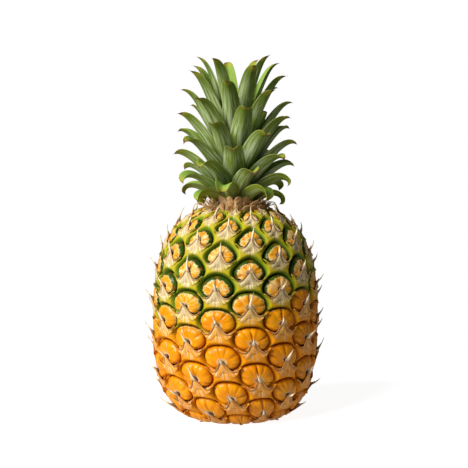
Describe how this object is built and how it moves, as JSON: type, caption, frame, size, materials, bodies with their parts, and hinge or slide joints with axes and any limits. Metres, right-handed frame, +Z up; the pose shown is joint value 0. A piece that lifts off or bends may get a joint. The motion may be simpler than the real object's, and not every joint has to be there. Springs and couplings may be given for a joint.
{
  "type": "pineapple",
  "caption": "Whole ripe pineapple standing upright: a barrel-shaped golden fruit covered in six-sided eyes with dry spiny bracts, under a crown of arching green leaves.",
  "frame": {"origin": "centre of the flat spot the fruit stands on", "axes": "+Z up through the crown; -Y is the front, +X is to the right seen from the front"},
  "size_m": [0.1198, 0.1198, 0.2605],
  "materials": {
    "rind": "waxy golden rind, glossy over the eyes, green shading towards the neck",
    "crown_stem": "pale fibrous green stem",
    "dry_bract": "dry papery bract, cream to brown",
    "crown_leaf": "tough green leaf with a pale grey bloom on its back and a satin face"
  },
  "bodies": {
    "root": {"fruit": "rind", "crown_stem": "crown_stem", "neck_bract_collar": "dry_bract", "crown_leaf_01": "crown_leaf", "crown_leaf_02": "crown_leaf", "crown_leaf_03": "crown_leaf", "crown_leaf_04": "crown_leaf", "crown_leaf_05": "crown_leaf", "crown_leaf_06": "crown_leaf", "crown_leaf_07": "crown_leaf", "crown_leaf_08": "crown_leaf", "crown_leaf_09": "crown_leaf", "crown_leaf_10": "crown_leaf", "crown_leaf_11": "crown_leaf", "crown_leaf_12": "crown_leaf", "crown_leaf_13": "crown_leaf", "crown_leaf_14": "crown_leaf", "crown_leaf_15": "crown_leaf", "crown_leaf_16": "crown_leaf", "crown_leaf_17": "crown_leaf", "crown_leaf_18": "crown_leaf", "crown_leaf_19": "crown_leaf", "crown_leaf_20": "crown_leaf", "crown_leaf_21": "crown_leaf", "crown_leaf_22": "crown_leaf", "crown_leaf_23": "crown_leaf", "crown_leaf_24": "crown_leaf", "crown_leaf_25": "crown_leaf", "crown_leaf_26": "crown_leaf", "crown_leaf_27": "crown_leaf", "crown_leaf_28": "crown_leaf", "crown_leaf_29": "crown_leaf", "crown_leaf_30": "crown_leaf", "crown_leaf_31": "crown_leaf", "crown_leaf_32": "crown_leaf", "crown_leaf_33": "crown_leaf", "crown_leaf_34": "crown_leaf", "crown_leaf_35": "crown_leaf", "crown_leaf_36": "crown_leaf", "crown_leaf_37": "crown_leaf", "crown_leaf_38": "crown_leaf", "crown_leaf_39": "crown_leaf", "crown_leaf_40": "crown_leaf", "crown_leaf_41": "crown_leaf", "crown_leaf_42": "crown_leaf", "crown_leaf_43": "crown_leaf", "crown_leaf_44": "crown_leaf", "crown_leaf_45": "crown_leaf", "crown_leaf_46": "crown_leaf", "crown_leaf_47": "crown_leaf", "crown_leaf_48": "crown_leaf", "crown_leaf_49": "crown_leaf", "crown_leaf_50": "crown_leaf", "crown_leaf_51": "crown_leaf", "crown_leaf_52": "crown_leaf", "crown_leaf_53": "crown_leaf", "crown_leaf_54": "crown_leaf"}
  },
  "joints": []
}
